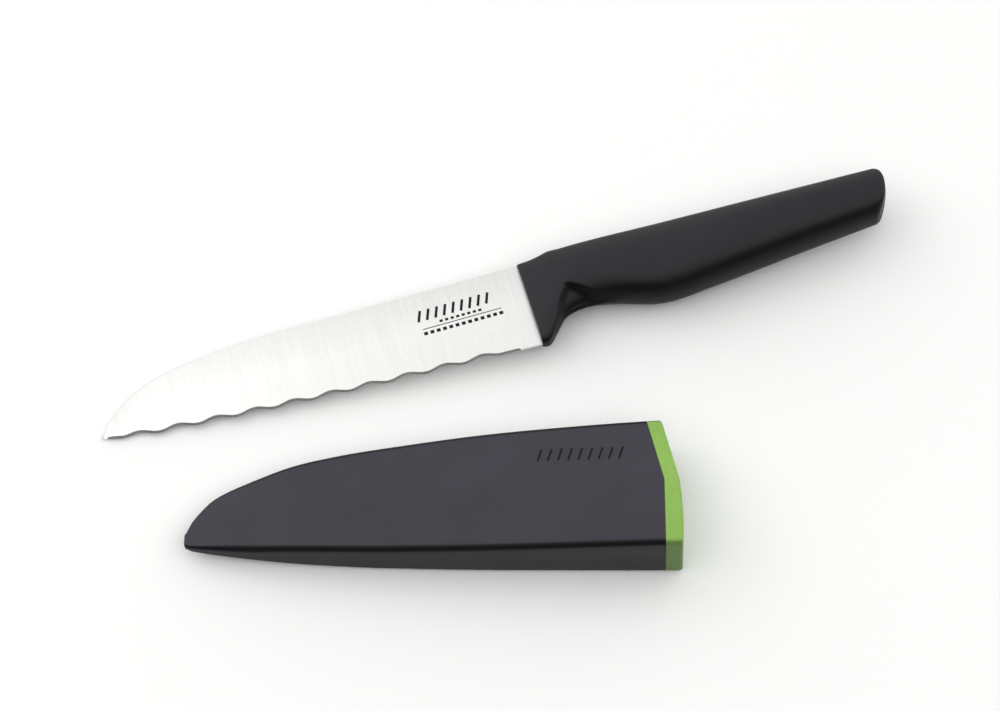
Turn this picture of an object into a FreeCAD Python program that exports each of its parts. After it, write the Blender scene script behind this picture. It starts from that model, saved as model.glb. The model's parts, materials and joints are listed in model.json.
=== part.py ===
"""Bread knife with its own self-sharpening scabbard, both lying on their sides.

Row frame: +Z up from the surface they lie on, +X along the scabbard's straight edge wall and
towards its mouth, origin under the middle of the whole layout.

Two drawing frames are used, and each sub-part is drawn in one of them:
  scabbard frame  x = 0 at the joint of shell and collar, y = 0 at the outside of the edge wall,
                  z = 0 at the joint plane of the two shells
  knife frame     x = 0 at the front of the handle, y = 0 at the blade's spine,
                  z = 0 at the middle of the blade's thickness
"""

import FreeCAD, Part
import math
import os

import Sketcher
from FreeCAD import Placement, Rotation, Vector

# ---------------------------------------------------------------------------------------------
# Driving dimensions, in millimetres and degrees; a formula's size follows the sizes it names
# ---------------------------------------------------------------------------------------------
SIZES = [
    # blade
    ("blade_length", 146.8),
    ("blade_height", 30.4),
    ("blade_thickness", 1.6),
    ("spine_straight", "=blade_length * 84 / 146.8"),
    ("spine_shoulder_x", "=blade_length * 121 / 146.8"),
    ("spine_shoulder_drop", 3.7),
    ("tip_drop", 20.4),
    ("belly_x", "=blade_length * 130 / 146.8"),
    ("belly_height", 23.7),
    ("edge_sag", 1.1),
    ("scallop_count", 10),
    ("scallop_pitch", 12.7),
    ("scallop_depth", 1.3),
    ("scallop_width", 10.9),
    ("plain_heel", 13.8),
    ("tang_length", 96.0),
    ("tang_height", 13.0),
    ("tang_spine_gap", 4.5),
    ("tang_hole_radius", 3.0),
    ("tang_hole_inset", 22.0),
    # handle
    ("handle_length", 128.0),
    ("grip_skin", 2.6),
    ("back_rise", 1.2),
    ("back_fall", 1.8),
    ("front_overhang", 0.5),
    ("guard_depth", 31.0),
    ("guard_back_x", 8.0),
    ("guard_back_depth", 25.4),
    ("recess_x", 17.5),
    ("recess_depth", 21.6),
    ("palm_x", 47.0),
    ("palm_depth", 26.6),
    ("palm_run", 13.0),
    ("butt_depth", 18.8),
    ("front_thickness", 7.8),
    ("neck_x", 28.0),
    ("neck_thickness", 18.4),
    ("palm_thickness", 19.4),
    ("butt_thickness", 16.4),
    ("butt_rake", 18.5),
    ("butt_round", 1.8),
    # scabbard casing
    ("shell_length", "=blade_length + 6.6"),
    ("collar_width", 4.9),
    ("mouth_height", 44.9),
    ("mouth_thickness", 22.6),
    ("face_fall", 5.92124),  # how much nearer a face is to the joint plane at the nose
    ("face_taper", "=face_fall / shell_length"),
    ("mouth_rake", 13.5),
    ("crease_share", 0.5),
    ("facet_slope", 0.06),
    ("facet_trim", 0.05),
    ("wall", 2.0),
    ("rim_bevel", 0.9),
    ("slot_width", 5.2),
    ("spine_clearance", 2.2),
    ("rib_width", 1.6),
    # sharpener
    ("pin_radius", 1.0),
    ("pin_x", 34.0),
    ("pin_y", 5.2),
    ("boss_radius", 2.2),
    ("rocker_width", 9.0),
    ("arm_thickness", 3.4),
    ("jaw_x", 6.0),
    ("jaw_length", 8.4),
    ("jaw_height", 8.6),
    ("jaw_gap", 3.0),
    ("plate_thickness", 1.8),
    ("plate_height", 9.0),
    ("plate_width", 2.6),
    ("plate_lean", 20.0),
    ("rocker_travel", 6.0),
    ("running_gap", 0.05),
    ("side_gap", 0.3),
    ("spring_strip", 0.5),
    ("spring_width", 5.0),
    ("spring_root", 50.0),
    ("spring_seat", 0.2),
    # how the two lie on the surface
    ("knife_turn", 16.15),
    ("knife_x", -46.85),
    ("knife_y", 107.8),
]

doc = FreeCAD.newDocument("bread_knife")
sheet = doc.addObject("Spreadsheet::Sheet", "Sizes")
for row, (alias, number) in enumerate(SIZES, start=1):
    sheet.set("A%d" % row, alias)
    sheet.set("B%d" % row, str(number))
    sheet.setAlias("B%d" % row, alias)
doc.recompute()


def size(expression):
    """The number that an expression of the sheet's cells gives."""
    return float(sheet.evalExpression(str(expression)))


def cells(expression):
    """The same expression with each cell's name led by the sheet's, as other objects need it."""
    words = {alias for alias, number in SIZES}
    out = ""
    word = ""
    for letter in str(expression) + " ":
        if letter.isalnum() or letter == "_":
            word += letter
            continue
        out += "Sizes." + word if word in words else word
        out += letter
        word = ""
    return out.strip()


# ---------------------------------------------------------------------------------------------
# Drawing helpers
# ---------------------------------------------------------------------------------------------
def new_body(label):
    body = doc.addObject("PartDesign::Body", label)
    body.Label = label
    return body


def new_sketch(body, plane, offset="0"):
    """An empty sketch on one of the body's own planes, moved along its normal."""
    sketch = body.newObject("Sketcher::SketchObject", body.Label + "_sketch")
    support = next(f for f in body.Origin.OriginFeatures if f.Role == plane)
    sketch.AttachmentSupport = [(support, "")]
    sketch.MapMode = "FlatFace"
    sketch.setExpression("AttachmentOffset.Base.z", cells(offset))
    return sketch


def pin_point(sketch, edge, end, across, up):
    """Hold one end of an edge at two expressions from the sketch's origin."""
    for kind, axis, expression in (("DistanceX", -2, across), ("DistanceY", -1, up)):
        if expression == "0":
            sketch.addConstraint(Sketcher.Constraint("PointOnObject", edge, end, axis))
            continue
        datum = Sketcher.Constraint(kind, -1, 1, edge, end, size(expression))
        index = sketch.addConstraint(datum)
        sketch.setExpression("Constraints[%d]" % index, cells(expression))


def draw_polygon(sketch, points):
    """A closed outline of straight lines through points given as pairs of expressions."""
    corners = [Vector(size(across), size(up), 0) for across, up in points]
    count = len(corners)
    for i in range(count):
        sketch.addGeometry(Part.LineSegment(corners[i], corners[(i + 1) % count]), False)
    for i in range(count):
        sketch.addConstraint(Sketcher.Constraint("Coincident", i, 2, (i + 1) % count, 1))
    for i, (across, up) in enumerate(points):
        pin_point(sketch, i, 1, across, up)


def draw_box(sketch, left, right, low, high):
    draw_polygon(sketch, [(left, low), (right, low), (right, high), (left, high)])


def draw_circle(sketch, across, up, radius):
    centre = Vector(size(across), size(up), 0)
    circle = sketch.addGeometry(Part.Circle(centre, Vector(0, 0, 1), size(radius)), False)
    pin_point(sketch, circle, 3, across, up)
    index = sketch.addConstraint(Sketcher.Constraint("Radius", circle, size(radius)))
    sketch.setExpression("Constraints[%d]" % index, cells(radius))


def pad(body, sketch, length, midplane=False, downwards=False):
    feature = body.newObject("PartDesign::Pad", body.Label + "_pad")
    feature.Profile = sketch
    feature.setExpression("Length", cells(length))
    feature.Midplane = midplane
    feature.Reversed = downwards
    return feature


def pocket(body, sketch, length, midplane=False, along_normal=False):
    """Cut a sketch into the body, and make sure that the cut removed something."""
    doc.recompute()
    before = body.Shape.Volume
    feature = body.newObject("PartDesign::Pocket", body.Label + "_pocket")
    feature.Profile = sketch
    feature.setExpression("Length", cells(length))
    feature.Midplane = midplane
    feature.Reversed = along_normal
    doc.recompute()
    if body.Shape.Volume >= before - 1e-6:
        raise ValueError("a pocket of %s cuts nothing" % body.Label)
    return feature


def loft(body, kind, sketches):
    feature = body.newObject("PartDesign::" + kind, body.Label + "_loft")
    feature.Profile = sketches[0]
    feature.Sections = sketches[1:]
    feature.Ruled = True
    return feature


# ---------------------------------------------------------------------------------------------
# Scabbard casing: the section at each station along its length
# ---------------------------------------------------------------------------------------------
# Each station: distance from the shell's joint towards the nose as a share of the shell, edge
# wall's rise and spine's fall as shares of the mouth's height, half thickness as a share of what
# the straight taper gives there.
STATIONS = [
    (-0.05, 0.0, -0.005, 1.0),
    (0.16, 0.0, 0.0235, 1.0),
    (0.38, 0.003, 0.0735, 1.0),
    (0.58, 0.016, 0.153, 1.0),
    (0.68, 0.03, 0.203, 0.99),
    (0.78, 0.048, 0.274, 0.91),
    (0.87, 0.07, 0.385, 0.71),
    (0.94, 0.098, 0.52, 0.51),
    (0.975, 0.118, 0.65, 0.38),
    (1.0, 0.16, 0.78, 0.28),
]
HOLLOW_STATIONS = STATIONS[:-2]


def station(share, rise, fall, slimming):
    """Expressions for a station's place, edge wall, spine and half thickness."""
    place = "-shell_length * %s" % share
    low = "mouth_height * %s" % rise
    high = "mouth_height * (1 - %s)" % fall
    half = "(mouth_thickness / 2 - face_taper * shell_length * %s) * %s" % (share, slimming)
    return place, low, high, half


def casing_section(low, high, half, side, inset, bevel="0"):
    """Half of the casing's section on one side of the joint plane, inset from its outside.

    The lower facet is level and the upper one falls from the crease towards the spine. Its two
    long rims are bevelled on the outside only."""
    crease = "(%s) + ((%s) - (%s)) * crease_share" % (low, high, low)
    fall = "((%s) - (%s)) * (1 - crease_share) * facet_slope" % (high, low)
    near = "(%s) + %s" % (low, inset)
    far = "(%s) - %s" % (high, inset)
    top = "%d * ((%s) - %s)" % (side, half, inset)
    back = "%d * ((%s) - (%s) - %s)" % (side, half, fall, inset)
    if bevel == "0":
        return [(near, "0"), (near, top), (crease, top), (far, back), (far, "0")]
    return [
        (near, "0"),
        (near, "%s - %d * %s" % (top, side, bevel)),
        (near + " + " + bevel, top),
        (crease, top),
        (far + " - " + bevel, back),
        (far, "%s - %d * %s" % (back, side, bevel)),
        (far, "0"),
    ]


def mouth_line(offset, beyond):
    """The mouth's plan line moved towards the knife, closed by a block that lies beyond it.

    Square to the edge wall below the crease, raked back towards the nose above it."""
    crease = "mouth_height * crease_share"
    top = "mouth_height + wall * 2"
    raked = "(%s) - (%s - %s) * tan(mouth_rake * 1 deg)" % (offset, top, crease)
    return [
        (offset, "-wall * 2"),
        (offset, crease),
        (raked, top),
        (beyond, top),
        (beyond, "-wall * 2"),
    ]


def level_facet(body, side):
    """Trim a facet to one true plane, from the mouth to where the shell grows slimmer.

    The lofted facet is level already, but only to the loft's own accuracy."""
    rear, front, outside = "-shell_length * 0.75", "collar_width * 3", "mouth_thickness"
    corners = []
    for place in (rear, front):
        face = "%d * (mouth_thickness / 2 + face_taper * (%s) - facet_trim)" % (side, place)
        corners.append((place, face))
    corners += [(front, "%d * %s" % (side, outside)), (rear, "%d * %s" % (side, outside))]
    sketch = new_sketch(body, "XZ_Plane")
    draw_polygon(sketch, corners)
    pocket(body, sketch, "mouth_height * 4", midplane=True)


RIB_BAYS = [(0.07, 0.27), (0.32, 0.52), (0.57, 0.74)]
RIB_HEIGHTS = [0.52, 0.80]
RIB_FALL = 0.2  # share by which the ribs come down towards the edge wall over the shell's length


def half_shell(label, side):
    """One moulded half of the scabbard: a tapered tray with guide ribs for the blade."""
    body = new_body(label)
    sections = []
    for row in STATIONS:
        place, low, high, half = station(*row)
        sketch = new_sketch(body, "YZ_Plane", place)
        draw_polygon(sketch, casing_section(low, high, half, side, "0", "rim_bevel"))
        sections.append(sketch)
    loft(body, "AdditiveLoft", sections)
    level_facet(body, side)

    hollow = []
    for row in HOLLOW_STATIONS:
        place, low, high, half = station(*row)
        sketch = new_sketch(body, "YZ_Plane", place)
        draw_polygon(sketch, casing_section(low, high, half, side, "wall"))
        hollow.append(sketch)
    loft(body, "SubtractiveLoft", hollow)

    # the mouth's joint line with the collar
    sketch = new_sketch(body, "XY_Plane")
    draw_polygon(sketch, mouth_line("0", "shell_length"))
    pocket(body, sketch, "mouth_thickness * 2", midplane=True)

    # ribs that leave the blade its slot, each ending inside the wall that it stands on
    for start, end in RIB_BAYS:
        middle = (start + end) / 2
        root = "mouth_thickness / 2 - face_taper * shell_length * %s - wall / 2" % middle
        for share in RIB_HEIGHTS:
            level = "mouth_height * %s * (1 - %s * %s)" % (share, RIB_FALL, middle)
            fall = "mouth_height * max(0; %s - crease_share) * facet_slope" % share
            sketch = new_sketch(body, "XY_Plane", "%d * slot_width / 2" % side)
            draw_box(
                sketch,
                "-shell_length * %s" % end,
                "-shell_length * %s" % start,
                level + " - rib_width / 2",
                level + " + rib_width / 2",
            )
            pad(body, sketch, "%s - slot_width / 2 - %s" % (root, fall), downwards=side < 0)

    # socket for the sharpener's pivot pin
    sketch = new_sketch(body, "XY_Plane")
    draw_circle(sketch, "-pin_x", "pin_y", "pin_radius")
    pocket(body, sketch, PIN_REACH, along_normal=side > 0)
    return body


PIN_REACH = "mouth_thickness / 2 - face_taper * pin_x - wall / 2"
upper_shell = half_shell("upper_shell", 1)
lower_shell = half_shell("lower_shell", -1)


def mouth_collar():
    """The coloured mouth piece: a band of the casing's own section with the blade's slot in it."""
    body = new_body("mouth_collar")
    sections = []
    for row in STATIONS[:2]:
        place, low, high, half = station(*row)
        above = casing_section(low, high, half, 1, "0", "rim_bevel")
        below = casing_section(low, high, half, -1, "0", "rim_bevel")
        sketch = new_sketch(body, "YZ_Plane", place)
        draw_polygon(sketch, above[1:-1] + below[-2:0:-1])
        sections.append(sketch)
    loft(body, "AdditiveLoft", sections)
    for side in (1, -1):
        level_facet(body, side)
    for offset, beyond in (("collar_width", "shell_length"), ("0", "-shell_length")):
        sketch = new_sketch(body, "XY_Plane")
        draw_polygon(sketch, mouth_line(offset, beyond))
        pocket(body, sketch, "mouth_thickness * 2", midplane=True)
    sketch = new_sketch(body, "YZ_Plane")
    draw_box(sketch, "wall * 1.5", "mouth_height - spine_clearance",
             "-slot_width / 2", "slot_width / 2")
    pocket(body, sketch, "collar_width * 8", midplane=True)


# ---------------------------------------------------------------------------------------------
# Sharpener: a sprung rocker under the blade's edge with two crossed ceramic plates
# ---------------------------------------------------------------------------------------------
JAW_FLOOR = "wall + (pin_x - jaw_x) * sin(rocker_travel * 1 deg) + side_gap"
JAW_BACK = "-jaw_x - jaw_length"
CROSSING = "(" + JAW_FLOOR + ") + jaw_height * 0.6"
PLATE_PLACES = {1: "-jaw_x - jaw_length * 0.28", -1: "-jaw_x - jaw_length * 0.72"}
PLATE_BELOW, PLATE_ABOVE = -0.4, 0.6  # shares of a plate's height on each side of the crossing


def plate_section(side):
    """A plate's section across the blade: its inner face leans out from the crossing point."""
    lean = "plate_lean * 1 deg"
    corners = []
    ends = ((PLATE_BELOW, 0), (PLATE_BELOW, 1), (PLATE_ABOVE, 1), (PLATE_ABOVE, 0))
    for along, out in ends:
        up = "%s + plate_height * %s * cos(%s) - plate_width * %d * sin(%s)"
        over = "%d * (plate_height * %s * sin(%s) + plate_width * %d * cos(%s))"
        corners.append((up % (CROSSING, along, lean, out, lean),
                        over % (side, along, lean, out, lean)))
    return corners


def sharpener_rocker():
    body = new_body("sharpener_rocker")
    sketch = new_sketch(body, "XY_Plane")
    draw_polygon(sketch, [
        ("-pin_x", "pin_y - arm_thickness / 2"),
        (JAW_BACK, JAW_FLOOR),
        ("-jaw_x", JAW_FLOOR),
        ("-jaw_x", JAW_FLOOR + " + jaw_height"),
        (JAW_BACK, JAW_FLOOR + " + jaw_height"),
        (JAW_BACK, JAW_FLOOR + " + arm_thickness"),
        ("-pin_x", "pin_y + arm_thickness / 2"),
    ])
    pad(body, sketch, "rocker_width", midplane=True)
    sketch = new_sketch(body, "XY_Plane")
    draw_circle(sketch, "-pin_x", "pin_y", "boss_radius")
    pad(body, sketch, "rocker_width", midplane=True)
    sketch = new_sketch(body, "XY_Plane")
    draw_circle(sketch, "-pin_x", "pin_y", "pin_radius + running_gap")
    pocket(body, sketch, "rocker_width * 2", midplane=True)
    sketch = new_sketch(body, "YZ_Plane")
    draw_box(sketch, CROSSING + " - side_gap * 4", JAW_FLOOR + " + jaw_height * 2",
             "-jaw_gap / 2", "jaw_gap / 2")
    pocket(body, sketch, "pin_x * 2", midplane=True)
    for side, place in PLATE_PLACES.items():
        sketch = new_sketch(body, "YZ_Plane", place)
        draw_polygon(sketch, plate_section(side))
        pocket(body, sketch, "plate_thickness", midplane=True)


def sharpening_plate(label, side):
    body = new_body(label)
    sketch = new_sketch(body, "YZ_Plane", PLATE_PLACES[side])
    draw_polygon(sketch, plate_section(side))
    pad(body, sketch, "plate_thickness", midplane=True)


def return_spring():
    """A steel strip that lies on the edge wall and rises to press the rocker's jaw up."""
    body = new_body("return_spring")
    seat = "wall + spring_seat"
    bend = "-pin_x + boss_radius"
    reach = JAW_BACK + " + jaw_length / 2"
    sketch = new_sketch(body, "XY_Plane")
    draw_polygon(sketch, [
        ("-spring_root", seat),
        (bend, seat),
        (reach, JAW_FLOOR + " - spring_strip"),
        (reach, JAW_FLOOR),
        (bend, seat + " + spring_strip"),
        ("-spring_root", seat + " + spring_strip"),
    ])
    pad(body, sketch, "spring_width", midplane=True)


def pivot_pin():
    body = new_body("pivot_pin")
    sketch = new_sketch(body, "XY_Plane")
    draw_circle(sketch, "-pin_x", "pin_y", "pin_radius")
    pad(body, sketch, "2 * (" + PIN_REACH + ")", midplane=True)


mouth_collar()
sharpener_rocker()
sharpening_plate("sharpening_plate_upper", 1)
sharpening_plate("sharpening_plate_lower", -1)
return_spring()
pivot_pin()

# ---------------------------------------------------------------------------------------------
# Knife
# ---------------------------------------------------------------------------------------------
# The cutting edge is one large arc from the heel to the belly point. Its centre, from the two
# ends and the sag between them:
CHORD = "sqrt(belly_x ^ 2 + (blade_height - belly_height) ^ 2)"
EDGE_RADIUS = "((%s) ^ 2 / 4 + edge_sag ^ 2) / (2 * edge_sag)" % CHORD
EDGE_X = "-belly_x / 2 + (blade_height - belly_height) / (%s) * (%s - edge_sag)" % (
    CHORD, EDGE_RADIUS)
EDGE_Y = "-(blade_height + belly_height) / 2 + belly_x / (%s) * (%s - edge_sag)" % (
    CHORD, EDGE_RADIUS)


def blade():
    """Flat stainless blade with a scalloped edge, and the tang that the handle is moulded on."""
    body = new_body("blade")
    sketch = new_sketch(body, "XY_Plane")
    length, height = size("blade_length"), size("blade_height")
    straight, shoulder = size("spine_straight"), size("spine_shoulder_x")
    drop, tip_drop = size("spine_shoulder_drop"), size("tip_drop")
    belly = Vector(-size("belly_x"), -size("belly_height"), 0)
    heel = Vector(0, -height, 0)
    spine = Vector(0, 0, 0)
    bend = Vector(-straight, 0, 0)
    turn = Vector(-shoulder, -drop, 0)
    tip = Vector(-length, -tip_drop, 0)
    # the arcs' middle points only start the solver: the constraints below decide the arcs
    first = sketch.addGeometry(Part.LineSegment(spine, bend), False)
    rise = (bend + turn) * 0.5 + Vector(0, drop / 4, 0)
    back = sketch.addGeometry(Part.Arc(bend, rise, turn), False)
    crown = (turn + tip) * 0.5 + Vector(-1, 1.5, 0) * (length - shoulder) * 0.1
    nose = sketch.addGeometry(Part.Arc(turn, crown, tip), False)
    sole = (tip + belly) * 0.5 + Vector(-0.1, -0.4, 0)
    point = sketch.addGeometry(Part.Arc(tip, sole, belly), False)
    sag = (belly + heel) * 0.5 + Vector(0, -size("edge_sag"), 0)
    edge = sketch.addGeometry(Part.Arc(belly, sag, heel), False)
    front = sketch.addGeometry(Part.LineSegment(heel, spine), False)
    sketch.addConstraint(Sketcher.Constraint("Coincident", first, 1, -1, 1))
    sketch.addConstraint(Sketcher.Constraint("PointOnObject", first, 2, -1))
    straight_length = Sketcher.Constraint("DistanceX", first, 2, first, 1, straight)
    index = sketch.addConstraint(straight_length)
    sketch.setExpression("Constraints[%d]" % index, cells("spine_straight"))
    for one, other in ((first, back), (back, nose), (point, edge)):
        sketch.addConstraint(Sketcher.Constraint("Tangent", one, 2, other, 1))
    for one, other in ((nose, point), (edge, front), (front, first)):
        sketch.addConstraint(Sketcher.Constraint("Coincident", one, 2, other, 1))
    pin_point(sketch, back, 2, "-spine_shoulder_x", "-spine_shoulder_drop")
    pin_point(sketch, nose, 2, "-blade_length", "-tip_drop")
    pin_point(sketch, point, 2, "-belly_x", "-belly_height")
    pin_point(sketch, edge, 2, "0", "-blade_height")
    index = sketch.addConstraint(Sketcher.Constraint("Radius", edge, size(EDGE_RADIUS)))
    sketch.setExpression("Constraints[%d]" % index, cells(EDGE_RADIUS))
    pad(body, sketch, "blade_thickness", midplane=True)

    sketch = new_sketch(body, "XY_Plane")
    low = "-tang_spine_gap - tang_height"
    draw_box(sketch, "-scallop_depth", "tang_length", low, "-tang_spine_gap")
    pad(body, sketch, "blade_thickness", midplane=True)
    for place in ("tang_hole_inset", "tang_length - tang_hole_inset"):
        sketch = new_sketch(body, "XY_Plane")
        draw_circle(sketch, place, "-tang_spine_gap - tang_height / 2", "tang_hole_radius")
        pocket(body, sketch, "blade_thickness * 2", midplane=True)

    # one scallop ground into the edge, repeated round the edge's own centre
    wheel = "((scallop_width ^ 2) / 4 + scallop_depth ^ 2) / (2 * scallop_depth)"
    swing = "asin(-(%s) / (%s)) - (plain_heel + scallop_pitch / 2) / (%s) * 180 / pi * 1 deg" % (
        EDGE_X, EDGE_RADIUS, EDGE_RADIUS)
    reach = "(%s) + (%s) - scallop_depth" % (EDGE_RADIUS, wheel)
    sketch = new_sketch(body, "XY_Plane")
    sketch.setExpression("AttachmentOffset.Base.x", cells(EDGE_X))
    sketch.setExpression("AttachmentOffset.Base.y", cells(EDGE_Y))
    draw_circle(sketch, "(%s) * sin(%s)" % (reach, swing), "-(%s) * cos(%s)" % (reach, swing), wheel)
    scallop = pocket(body, sketch, "blade_thickness * 2", midplane=True)
    before = body.Shape.Volume
    pattern = body.newObject("PartDesign::PolarPattern", "scallops")
    pattern.Originals = [scallop]
    pattern.Axis = (sketch, ["N_Axis"])
    pattern.Reversed = True
    turn_each = "scallop_pitch / (%s) * 180 / pi" % EDGE_RADIUS
    pattern.setExpression("Angle", cells("(scallop_count - 1) * " + turn_each))
    pattern.setExpression("Occurrences", cells("scallop_count"))
    body.Tip = pattern
    doc.recompute()
    if body.Shape.Volume >= before:
        raise ValueError("the scallop pattern cuts nothing")
    return body


def hermite(x, knots):
    """A smooth line through knots given as place, value and slope."""
    for (x0, v0, s0), (x1, v1, s1) in zip(knots, knots[1:]):
        if x <= x1 or (x1, v1, s1) == knots[-1]:
            span = x1 - x0
            t = (x - x0) / span
            return (
                v0 * (1 - t) ** 2 * (1 + 2 * t)
                + v1 * t ** 2 * (3 - 2 * t)
                + s0 * span * t * (1 - t) ** 2
                - s1 * span * t ** 2 * (1 - t)
            )


BELLY_SLOPE = 0.1
BELLY_TURN = 5.5  # how far beyond the palm's deepest point the belly's straight line starts
PALM_END = size("palm_x") + size("palm_run")
GRIP_BACK = [
    (0, 0.1, 0.1),
    (size("recess_x"), size("back_rise"), 0),
    (size("handle_length"), -size("back_fall"), -0.024),
]
GRIP_BELLY = [
    (0, -size("blade_height") - size("front_overhang"), -0.2),
    (2.4, -size("guard_depth"), 0),
    (size("guard_back_x"), -size("guard_back_depth"), 1.0),
    (size("recess_x"), -size("recess_depth"), 0),
    (size("palm_x"), -size("palm_depth"), 0),
    (PALM_END, BELLY_SLOPE * (size("palm_run") - BELLY_TURN) - size("palm_depth"), BELLY_SLOPE),
    (size("handle_length"), -size("butt_depth"), BELLY_SLOPE),
]
GRIP_THICKNESS = [
    (0, size("front_thickness"), 0.7),
    (size("neck_x"), size("neck_thickness"), 0.1),
    (PALM_END, size("palm_thickness"), 0),
    (size("handle_length"), size("butt_thickness"), -0.04),
]
SECTION_POINTS = 24
SQUARENESS = 2.6  # a section's exponent: 2 is an ellipse, and more is nearer to a box
OVERRUN = 4  # how far the loft runs past the butt, so that the butt's cut has all of it


def grip_section(x, inset):
    """The handle's rounded section at one place, inset from its outside."""
    top = hermite(x, GRIP_BACK) - inset
    low = hermite(x, GRIP_BELLY) + inset
    half = hermite(x, GRIP_THICKNESS) / 2 - inset
    points = []
    for i in range(SECTION_POINTS):
        turn = 2 * math.pi * i / SECTION_POINTS
        across = math.copysign(abs(math.cos(turn)) ** (2 / SQUARENESS), math.cos(turn))
        out = math.copysign(abs(math.sin(turn)) ** (2 / SQUARENESS), math.sin(turn))
        points.append(Vector(x, (top + low) / 2 + across * (top - low) / 2, out * half))
    ring = Part.BSplineCurve()
    ring.interpolate(Points=points, PeriodicFlag=True)
    return Part.Wire([ring.toShape()])


def grip_loft(places, inset):
    return Part.makeLoft([grip_section(x, inset) for x in places], True, False)


def fixed_part(label, shape):
    feature = doc.addObject("Part::Feature", label)
    feature.Label = label
    feature.Shape = shape
    return feature


def handle(steel):
    """A soft outer grip moulded over a hard core, which is itself moulded round the tang."""
    length, skin = size("handle_length"), size("grip_skin")
    recess, palm = size("recess_x"), size("palm_x")
    overrun = length + OVERRUN
    front = [recess * i / 6 for i in range(6)]
    rear = [recess + (palm - recess) * i / 5 for i in range(5)]
    rear += [palm + (overrun - palm) * i / 6 for i in range(7)]
    outer = grip_loft(front + rear, 0)

    # the butt's end face leans in from the back to the belly
    top = Vector(length, hermite(length, GRIP_BACK), 0)
    wide, deep = size("palm_thickness") * 2, size("blade_height") * 2
    block = Part.makeBox(length / 4, deep, wide, Vector(0, -deep * 0.8, -wide / 2))
    block.rotate(Vector(0, 0, 0), Vector(0, 0, 1), -size("butt_rake"))
    block.translate(top)
    outer = outer.cut(block)
    rake_run = size("butt_depth") * math.tan(math.radians(size("butt_rake")))
    rim = [e for e in outer.Edges
           if e.BoundBox.XMin > length - rake_run * 1.8 and e.BoundBox.XLength > rake_run * 0.4]
    outer = outer.makeFillet(size("butt_round"), rim)

    core_front = skin * 3
    core_end = size("tang_length") + skin * 2
    places = [core_front, (core_front + recess) / 2]
    places += [x for x in rear if x < core_end - skin] + [core_end]
    core = grip_loft(places, skin)
    fixed_part("handle_core", core.cut(steel))
    fixed_part("handle_grip", outer.cut(core).cut(steel))


steel_blade = blade()
handle(steel_blade.Shape)

# ---------------------------------------------------------------------------------------------
# Places: the scabbard lies on its lower face, the knife on its grip and the blade's tip
# ---------------------------------------------------------------------------------------------
def knife_pitch():
    """The slope at which the grip and the tip's lower face both touch the surface."""
    steps = 200
    length, reach = size("handle_length"), size("blade_length")
    half_blade = size("blade_thickness") / 2
    slopes = []
    for i in range(steps + 1):
        x = length * i / steps
        slopes.append((hermite(x, GRIP_THICKNESS) / 2 - half_blade) / (x + reach))
    return math.degrees(math.atan(max(slopes)))


def lowest(shapes):
    return min(shape.optimalBoundingBox(True, False).ZMin for shape in shapes)


def turned(pitch, yaw):
    return Rotation(Vector(0, 0, 1), yaw) * Rotation(Vector(0, 1, 0), -pitch)


KNIFE = ["blade", "handle_core", "handle_grip"]
tilt = math.degrees(math.atan(size("face_taper")))
scabbard_place = Placement(Vector(0, 0, 0), turned(tilt, 0))
knife_place = Placement(Vector(size("knife_x"), size("knife_y"), 0),
                        turned(knife_pitch(), size("knife_turn")))

doc.recompute()
pieces = {}
for thing in doc.Objects:
    if thing.isDerivedFrom("PartDesign::Body") or thing.Label in KNIFE:
        pieces[thing.Label] = thing


def placed(label):
    """The piece's shape in its group's place, before the layout is centred."""
    group = knife_place if label in KNIFE else scabbard_place
    return pieces[label].Shape.transformed(group.toMatrix(), copy=True)


for group, labels in (
    (knife_place, KNIFE),
    (scabbard_place, [label for label in pieces if label not in KNIFE]),
):
    group.Base.z -= lowest([placed(label) for label in labels])

whole = FreeCAD.BoundBox()
for label in pieces:
    whole.add(placed(label).optimalBoundingBox(True, False))
centring = Placement(Vector(-whole.Center.x, -whole.Center.y, -whole.ZMin), Rotation())
for label, piece in pieces.items():
    group = knife_place if label in KNIFE else scabbard_place
    piece.Placement = centring * group * piece.Placement
doc.recompute()

# ---------------------------------------------------------------------------------------------
# Checks, then one file for each sub-part
# ---------------------------------------------------------------------------------------------
for thing in doc.Objects:
    faults = [word for word in thing.State if word in ("Invalid", "Error")]
    if faults:
        raise ValueError("%s: %s" % (thing.Label, ", ".join(faults)))
for label, piece in pieces.items():
    if piece.Shape.isNull() or not piece.Shape.isValid():
        raise ValueError("%s has no valid shape" % label)

os.makedirs("parts", exist_ok=True)
for label, piece in pieces.items():
    piece.Shape.exportStep("parts/%s.step" % label)
    print(label, "volume %.0f mm3, solids %d" % (piece.Shape.Volume, len(piece.Shape.Solids)))

scabbard_row = centring * scabbard_place
knife_row = centring * knife_place
pin_row = scabbard_row.multVec(Vector(-size("pin_x"), size("pin_y"), 0))
print("layout", whole.XLength, whole.YLength, whole.ZLength)
print("sharpener pivot", pin_row, scabbard_row.Rotation.multVec(Vector(0, 0, 1)))
print("mouth", scabbard_row.multVec(Vector(size("collar_width"), 0, 0)), "tilt", tilt)
print("knife front", knife_row.multVec(Vector(0, 0, 0)), "pitch", knife_pitch())
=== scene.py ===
"""Looks of the bread knife and its sharpening scabbard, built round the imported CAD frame.

Lengths inside the makers are millimetres in one of two drawing frames, as in the CAD:
  scabbard frame  x = 0 at the joint of shell and collar, towards the mouth; y = 0 at the outside
                  of the edge wall, towards the spine; z = 0 at the joint plane of the shells
  knife frame     x = 0 at the front of the handle, towards the butt; y = 0 at the blade's
                  spine; z = 0 at the middle of the blade's thickness
"""

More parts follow.
